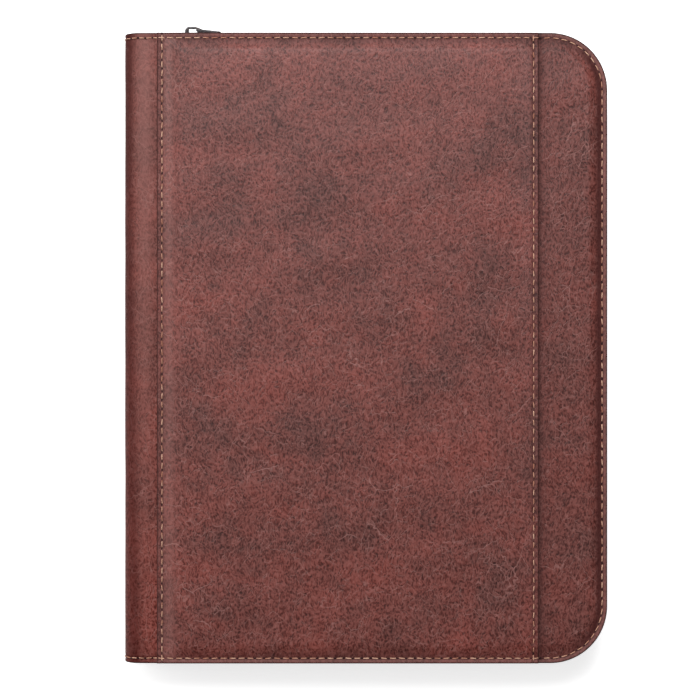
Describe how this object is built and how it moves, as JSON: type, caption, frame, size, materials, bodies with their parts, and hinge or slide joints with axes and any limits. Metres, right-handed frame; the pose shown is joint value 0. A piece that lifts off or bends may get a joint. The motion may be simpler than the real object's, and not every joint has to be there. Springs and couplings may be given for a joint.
{
  "type": "zip-round bible case with bible",
  "caption": "Thick bible held by sleeves inside a padded red-brown leatherette case with a zip round three sides and a flat front pocket.",
  "frame": {"origin": "middle of the back cover's flat resting face, half-way across the closed case's width and height", "axes": "+X from the spine to the fore edge, +Y from the foot of the page to its head, +Z from the back cover up through the front cover"},
  "size_m": [0.2203, 0.2914, 0.0367],
  "materials": {
    "leatherette": "satin, red-brown pull-up finish",
    "foam": "open-cell foam",
    "stiffener": "plain",
    "lining_cloth": "fine matt weave",
    "sleeve_leatherette": "satin",
    "thread": "waxed twisted thread",
    "zip_tape": "herringbone weave",
    "zip_coil": "nylon coil",
    "zip_metal": "dark lacquered zinc",
    "bible_cover": "fine-grained black",
    "endpaper": "plain",
    "page_paper": "thin printed paper, gilt edges",
    "mull": "open gauze",
    "band_silk": "woven silk",
    "ribbon_silk": "satin ribbon"
  },
  "bodies": {
    "back_cover": {"back_outer_panel": "leatherette", "back_padding": "foam", "back_board": "stiffener", "back_lining": "lining_cloth", "back_sleeve": "sleeve_leatherette", "back_edge_thread": "thread", "back_spine_seam_thread": "thread", "back_fold": "leatherette", "back_fold_lining": "lining_cloth", "zip_tape_back": "zip_tape", "zip_coil_back": "zip_coil", "zip_stops_back": "zip_metal", "bible_back_board": "bible_cover", "bible_back_joint": "bible_cover", "back_endpaper": "endpaper", "text_block": "page_paper", "spine_cloth": "mull", "headband": "band_silk", "tailband": "band_silk", "ribbon_marker": "ribbon_silk"},
    "spine": {"spine_outer_panel": "leatherette", "spine_board": "stiffener", "spine_lining": "lining_cloth", "spine_end_threads": "thread", "front_fold": "leatherette", "front_fold_lining": "lining_cloth", "bible_spine": "bible_cover", "bible_front_joint": "bible_cover"},
    "front_cover": {"front_outer_panel": "leatherette", "front_pocket_panel": "leatherette", "front_padding": "foam", "front_board": "stiffener", "front_lining": "lining_cloth", "front_sleeve": "sleeve_leatherette", "front_edge_thread": "thread", "front_spine_seam_thread": "thread", "pocket_edge_thread": "thread", "zip_tape_front": "zip_tape", "zip_coil_front": "zip_coil", "zip_stops_front": "zip_metal", "bible_front_board": "bible_cover", "front_endpaper": "endpaper"},
    "page_section_1": {"page_section_1": "page_paper"},
    "page_section_2": {"page_section_2": "page_paper"},
    "page_section_3": {"page_section_3": "page_paper"},
    "page_section_4": {"page_section_4": "page_paper"},
    "loose_leaf": {"loose_leaf": "page_paper"},
    "slider": {"zip_slider": "zip_metal", "zip_slider_bridge": "zip_metal"},
    "pull": {"zip_pull": "zip_metal"}
  },
  "joints": [
    {"name": "spine_hinge", "type": "hinge", "parent": "back_cover", "child": "spine", "pos_m": [-0.10798, 0, 0.00382], "axis": [0, -1, 0], "range_deg": [0, 90], "deforming": ["back_fold", "back_fold_lining", "bible_back_joint", "zip_coil_front"]},
    {"name": "front_cover_hinge", "type": "hinge", "parent": "spine", "child": "front_cover", "pos_m": [-0.10798, 0, 0.03258], "axis": [0, -1, 0], "range_deg": [0, 90], "deforming": ["front_fold", "front_fold_lining", "bible_front_joint"]},
    {"name": "page_section_1_turn", "type": "hinge", "parent": "back_cover", "child": "page_section_1", "pos_m": [-0.1037, 0, 0.0184], "axis": [0, -1, 0], "range_deg": [0, 179.33]},
    {"name": "page_section_2_turn", "type": "hinge", "parent": "back_cover", "child": "page_section_2", "pos_m": [-0.1037, 0, 0.0184], "axis": [0, -1, 0], "range_deg": [0, 178.88]},
    {"name": "page_section_3_turn", "type": "hinge", "parent": "back_cover", "child": "page_section_3", "pos_m": [-0.1037, 0, 0.0184], "axis": [0, -1, 0], "range_deg": [0, 178.34]},
    {"name": "page_section_4_turn", "type": "hinge", "parent": "back_cover", "child": "page_section_4", "pos_m": [-0.1037, 0, 0.0184], "axis": [0, -1, 0], "range_deg": [0, 177.71]},
    {"name": "loose_leaf_turn", "type": "hinge", "parent": "back_cover", "child": "loose_leaf", "pos_m": [-0.1037, 0, 0.0184], "axis": [0, -1, 0], "range_deg": [0, 173.75]},
    {"name": "zip_slide", "type": "slide", "parent": "back_cover", "child": "slider", "axis": [1, 0, 0], "range_m": [0, 0.15]},
    {"name": "pull_swing", "type": "hinge", "parent": "slider", "child": "pull", "pos_m": [-0.0772, 0.14595, 0.0182], "axis": [0, 0, 1], "range_deg": [0, 170]}
  ],
  "couplings": [
    {"joint": "spine_hinge", "follows": "front_cover_hinge", "ratio": 1},
    {"joint": "page_section_1_turn", "follows": "front_cover_hinge", "ratio": 1.992},
    {"joint": "page_section_2_turn", "follows": "front_cover_hinge", "ratio": 1.987},
    {"joint": "page_section_3_turn", "follows": "front_cover_hinge", "ratio": 1.981},
    {"joint": "page_section_4_turn", "follows": "front_cover_hinge", "ratio": 1.974},
    {"joint": "loose_leaf_turn", "follows": "front_cover_hinge", "ratio": 1.93}
  ]
}
